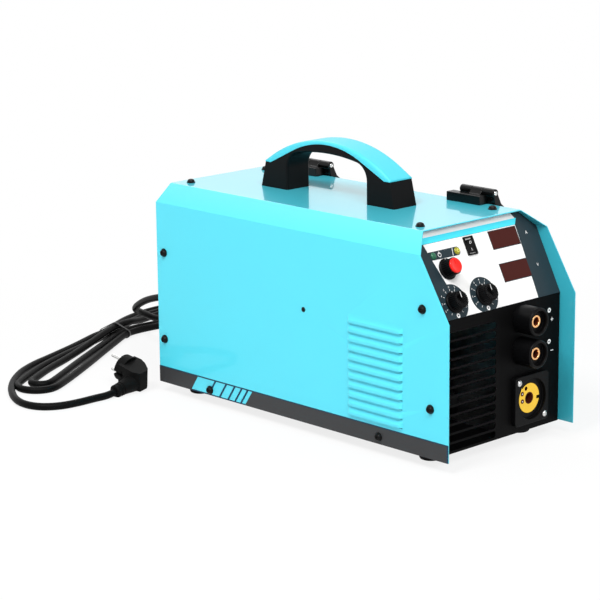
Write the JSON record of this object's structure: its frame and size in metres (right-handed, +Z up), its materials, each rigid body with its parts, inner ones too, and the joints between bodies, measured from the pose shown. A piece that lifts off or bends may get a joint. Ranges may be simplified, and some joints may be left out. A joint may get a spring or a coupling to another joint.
{
  "type": "mig welding machine",
  "caption": "Compact portable MIG welding machine: slanted control panel, output sockets, torch connector, carry handle, hinged side door with wire feeder and spool, mains cord with plug.",
  "frame": {"origin": "floor level under the middle of the machine, cord left out", "axes": "+Z up, front panel faces -Y, length along Y, width along X"},
  "size_m": [0.459, 0.7855, 0.3196],
  "materials": {
    "cyan_paint": "satin powder coat",
    "panel_paint": "fine textured black paint",
    "tray_paint": "fine textured dark paint",
    "inner_steel": "plain zinc plated sheet",
    "band_print": "printed film",
    "overlay_print": "printed polycarbonate film",
    "black_plastic": "fine textured",
    "gloss_black": "smooth moulded",
    "cyan_plastic": "satin moulded",
    "red_plastic": "smooth moulded",
    "green_lens": "clear tinted lens",
    "yellow_lens": "clear tinted lens",
    "display_lens": "dark red filter window",
    "foot_rubber": "matt",
    "cord_rubber": "matt",
    "screw_black": "black oxide",
    "pin_steel": "bright nickel",
    "zinc_steel": "zinc plated",
    "contact_brass": "machined",
    "machined_steel": "machined",
    "hinge_metal": "black cast",
    "board_green": "solder mask",
    "heatsink_alu": "extruded",
    "can_blue": "shrink sleeve",
    "winding_copper": "enamelled copper",
    "wire_steel": "copper coated steel wire",
    "reel_plastic": "moulded",
    "tie_plastic": "moulded nylon"
  },
  "bodies": {
    "case": {"base_tray": "tray_paint", "cable_gland": "black_plastic", "cable_tie": "tie_plastic", "capacitors": "can_blue", "control_board": "board_green", "control_overlay": "overlay_print", "cover_screws": "screw_black", "display_windows": "display_lens", "fan_frame": "black_plastic", "fan_guard": "zinc_steel", "feed_motor": "gloss_black", "feeder_frame": "machined_steel", "foot_screws": "zinc_steel", "front_panel": "panel_paint", "gas_valve": "contact_brass", "handle_base": "black_plastic", "handle_cap": "cyan_plastic", "heatsinks": "heatsink_alu", "hinge_leaves_top": "hinge_metal", "hinge_pins": "pin_steel", "inverter_board": "board_green", "left_cover": "cyan_paint", "mains_cable": "cord_rubber", "mains_hank": "cord_rubber", "partition": "inner_steel", "plug_body": "cord_rubber", "plug_lead": "cord_rubber", "plug_pins": "pin_steel", "power_lamp": "green_lens", "rear_panel": "tray_paint", "rocker_frame": "gloss_black", "rubber_feet": "foot_rubber", "side_band": "band_print", "socket_bodies": "black_plastic", "socket_contacts": "contact_brass", "spool_axle": "black_plastic", "switch_frame": "gloss_black", "torch_block": "contact_brass", "torch_flange": "black_plastic", "torch_pins": "pin_steel", "torch_screws": "pin_steel", "transformer": "winding_copper", "warning_lamp": "yellow_lens"},
    "door": {"side_door": "cyan_paint", "hinge_leaves_door": "hinge_metal"},
    "front_latch": {"latch_front": "gloss_black"},
    "rear_latch": {"latch_rear": "gloss_black"},
    "current_dial": {"current_knob": "black_plastic", "current_knob_cap": "red_plastic"},
    "voltage_dial": {"voltage_knob": "black_plastic"},
    "inductance_dial": {"inductance_knob": "black_plastic"},
    "mode_switch": {"mode_rocker": "gloss_black"},
    "mains_switch": {"power_rocker": "red_plastic"},
    "fan": {"fan_rotor": "black_plastic"},
    "feed_roll": {"drive_roll": "machined_steel"},
    "arm": {"pressure_arm": "black_plastic"},
    "top_roll": {"pressure_roll": "machined_steel"},
    "lever": {"tension_lever": "black_plastic"},
    "spool": {"wire_spool": "reel_plastic", "wire_winding": "wire_steel"}
  },
  "joints": [
    {"name": "door_hinge", "type": "hinge", "parent": "case", "child": "door", "pos_m": [0.082, 0.0015, 0.2645], "axis": [0, -1, 0], "range_deg": [0, 170]},
    {"name": "front_latch_turn", "type": "hinge", "parent": "door", "child": "front_latch", "pos_m": [0.10365, -0.1285, 0.0445], "axis": [-1, 0, 0], "range_deg": [0, 90]},
    {"name": "rear_latch_turn", "type": "hinge", "parent": "door", "child": "rear_latch", "pos_m": [0.10365, 0.1265, 0.0445], "axis": [-1, 0, 0], "range_deg": [0, 90]},
    {"name": "current_turn", "type": "hinge", "parent": "case", "child": "current_dial", "pos_m": [-0.0576, -0.19276, 0.20876], "axis": [0, -0.891, 0.454], "range_deg": [-150, 150]},
    {"name": "voltage_turn", "type": "hinge", "parent": "case", "child": "voltage_dial", "pos_m": [-0.0646, -0.20928, 0.17633], "axis": [0, -0.891, 0.454], "range_deg": [-150, 150]},
    {"name": "inductance_turn", "type": "hinge", "parent": "case", "child": "inductance_dial", "pos_m": [-0.0167, -0.20928, 0.17633], "axis": [0, -0.891, 0.454], "range_deg": [-150, 150]},
    {"name": "mode_tilt", "type": "hinge", "parent": "case", "child": "mode_switch", "pos_m": [-0.012, -0.18315, 0.22541], "axis": [-1, 0, 0], "range_deg": [0, 16]},
    {"name": "mains_tilt", "type": "hinge", "parent": "case", "child": "mains_switch", "pos_m": [-0.07, 0.2082, 0.0825], "axis": [1, 0, 0], "range_deg": [0, 16]},
    {"name": "fan_spin", "type": "hinge", "parent": "case", "child": "fan", "pos_m": [-0.045, 0.1975, 0.1725], "axis": [0, 1, 0], "continuous": true},
    {"name": "feed_roll_spin", "type": "hinge", "parent": "case", "child": "feed_roll", "pos_m": [0.0495, -0.1265, 0.03465], "axis": [1, 0, 0], "continuous": true},
    {"name": "arm_swing", "type": "hinge", "parent": "case", "child": "arm", "pos_m": [0.0495, -0.0885, 0.0718], "axis": [-1, 0, 0], "range_deg": [0, 60]},
    {"name": "top_roll_spin", "type": "hinge", "parent": "arm", "child": "top_roll", "pos_m": [0.0495, -0.1265, 0.06095], "axis": [1, 0, 0], "continuous": true},
    {"name": "lever_swing", "type": "hinge", "parent": "case", "child": "lever", "pos_m": [0.0495, -0.1565, 0.0559], "axis": [-1, 0, 0], "range_deg": [0, 45]},
    {"name": "spool_spin", "type": "hinge", "parent": "case", "child": "spool", "pos_m": [0.0495, 0.0915, 0.1325], "axis": [1, 0, 0], "continuous": true}
  ],
  "couplings": [
    {"joint": "top_roll_spin", "follows": "feed_roll_spin", "ratio": -1.3636}
  ]
}
